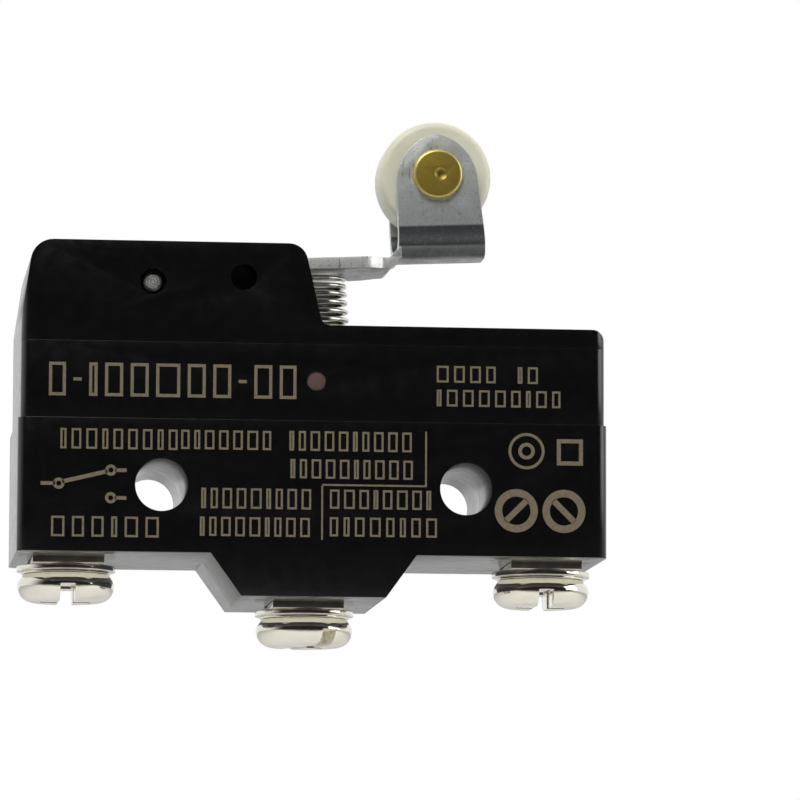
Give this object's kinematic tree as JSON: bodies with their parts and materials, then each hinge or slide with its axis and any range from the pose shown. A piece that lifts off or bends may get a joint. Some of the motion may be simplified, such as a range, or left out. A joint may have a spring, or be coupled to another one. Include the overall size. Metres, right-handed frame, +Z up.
{
  "type": "snap-action limit switch with short hinge roller lever",
  "caption": "Industrial snap-action limit switch in a black moulded case, with a hinged steel lever carrying a nylon roller, a return spring and screw terminals along the bottom.",
  "frame": {"origin": "midpoint between the axes of the two mounting holes, at the middle of the case width", "axes": "+X along the case towards the roller end of the lever; +Y across the case from the front face to the back face; +Z up, from the terminals towards the roller"},
  "size_m": [0.0492, 0.0174, 0.0447],
  "materials": {
    "case": "moulded black phenolic, low gloss with light-worn edges",
    "lock_pin": "brown resin pin, cut flush",
    "plated_steel": "zinc plated pressed steel sheet, mottled",
    "pin_steel": "bright turned pin",
    "spring_wire": "drawn stainless spring wire",
    "nylon": "natural nylon, slightly translucent",
    "brass": "turned brass, light tarnish",
    "plunger_plastic": "red-brown moulded resin",
    "spring_copper": "beryllium copper spring sheet",
    "silver": "silver contact rivet",
    "nickel": "nickel plated steel, warm tint",
    "marking_ink": "pale khaki burnt marking"
  },
  "bodies": {
    "case": {"base_case": "case", "middle_cover": "case", "actuator_housing": "case", "cover_lock_pin": "lock_pin", "lever_pivot_pin": "pin_steel", "return_spring": "spring_wire", "common_terminal": "brass", "normally_open_terminal": "brass", "normally_closed_terminal": "brass", "normally_open_contact": "silver", "normally_closed_contact": "silver", "blade_anchor_rivet": "brass", "bow_tongue": "spring_copper"},
    "lever": {"lever": "plated_steel", "roller_rivet": "brass"},
    "roller": {"roller": "nylon"},
    "plunger": {"plunger": "plunger_plastic"},
    "blade": {"snap_blade": "spring_copper", "moving_contact": "silver"},
    "common_washers": {"common_flat_washer": "nickel", "common_spring_washer": "nickel"},
    "common_screw": {"common_screw": "nickel"},
    "normally_open_washers": {"normally_open_flat_washer": "nickel", "normally_open_spring_washer": "nickel"},
    "normally_open_screw": {"normally_open_screw": "nickel"},
    "normally_closed_washers": {"normally_closed_flat_washer": "nickel", "normally_closed_spring_washer": "nickel"},
    "normally_closed_screw": {"normally_closed_screw": "nickel"}
  },
  "joints": [
    {"name": "lever_hinge", "type": "hinge", "parent": "case", "child": "lever", "pos_m": [-0.01354, 0, 0.01699], "axis": [0, 1, 0], "range_deg": [0, 9.9], "stiffness_Nm_per_rad": 0.12, "springref_deg": -3.44, "deforming": ["return_spring"]},
    {"name": "roller_spin", "type": "hinge", "parent": "lever", "child": "roller", "pos_m": [0.01079, 0, 0.02723], "axis": [0, 1, 0], "continuous": true},
    {"name": "plunger_slide", "type": "slide", "parent": "case", "child": "plunger", "axis": [0, 0, -1], "range_m": [0, 0.00165], "deforming": ["bow_tongue"]},
    {"name": "blade_hinge", "type": "hinge", "parent": "case", "child": "blade", "pos_m": [-0.0185, 0, 0.00675], "axis": [0, 1, 0], "range_deg": [0, 0.82]},
    {"name": "common_screw_travel", "type": "slide", "parent": "case", "child": "common_washers", "axis": [0, 0, -1], "range_m": [0, 0.0035]},
    {"name": "common_screw_turn", "type": "hinge", "parent": "common_washers", "child": "common_screw", "pos_m": [-0.0201, 0, 0], "axis": [0, 0, -1], "range_deg": [0, 1800]},
    {"name": "normally_open_screw_travel", "type": "slide", "parent": "case", "child": "normally_open_washers", "axis": [0, 0, -1], "range_m": [0, 0.0035]},
    {"name": "normally_open_screw_turn", "type": "hinge", "parent": "normally_open_washers", "child": "normally_open_screw", "pos_m": [0, 0, 0], "axis": [0, 0, -1], "range_deg": [0, 1800]},
    {"name": "normally_closed_screw_travel", "type": "slide", "parent": "case", "child": "normally_closed_washers", "axis": [0, 0, -1], "range_m": [0, 0.0035]},
    {"name": "normally_closed_screw_turn", "type": "hinge", "parent": "normally_closed_washers", "child": "normally_closed_screw", "pos_m": [0.0201, 0, 0], "axis": [0, 0, -1], "range_deg": [0, 1800]}
  ],
  "couplings": [
    {"joint": "plunger_slide", "follows": "lever_hinge", "m_per_rad": 0.0093},
    {"joint": "blade_hinge", "follows": "lever_hinge", "ratio": 0.0808},
    {"joint": "common_screw_turn", "follows": "common_screw_travel", "rad_per_m": 8975.9},
    {"joint": "normally_open_screw_turn", "follows": "normally_open_screw_travel", "rad_per_m": 8975.9},
    {"joint": "normally_closed_screw_turn", "follows": "normally_closed_screw_travel", "rad_per_m": 8975.9}
  ]
}
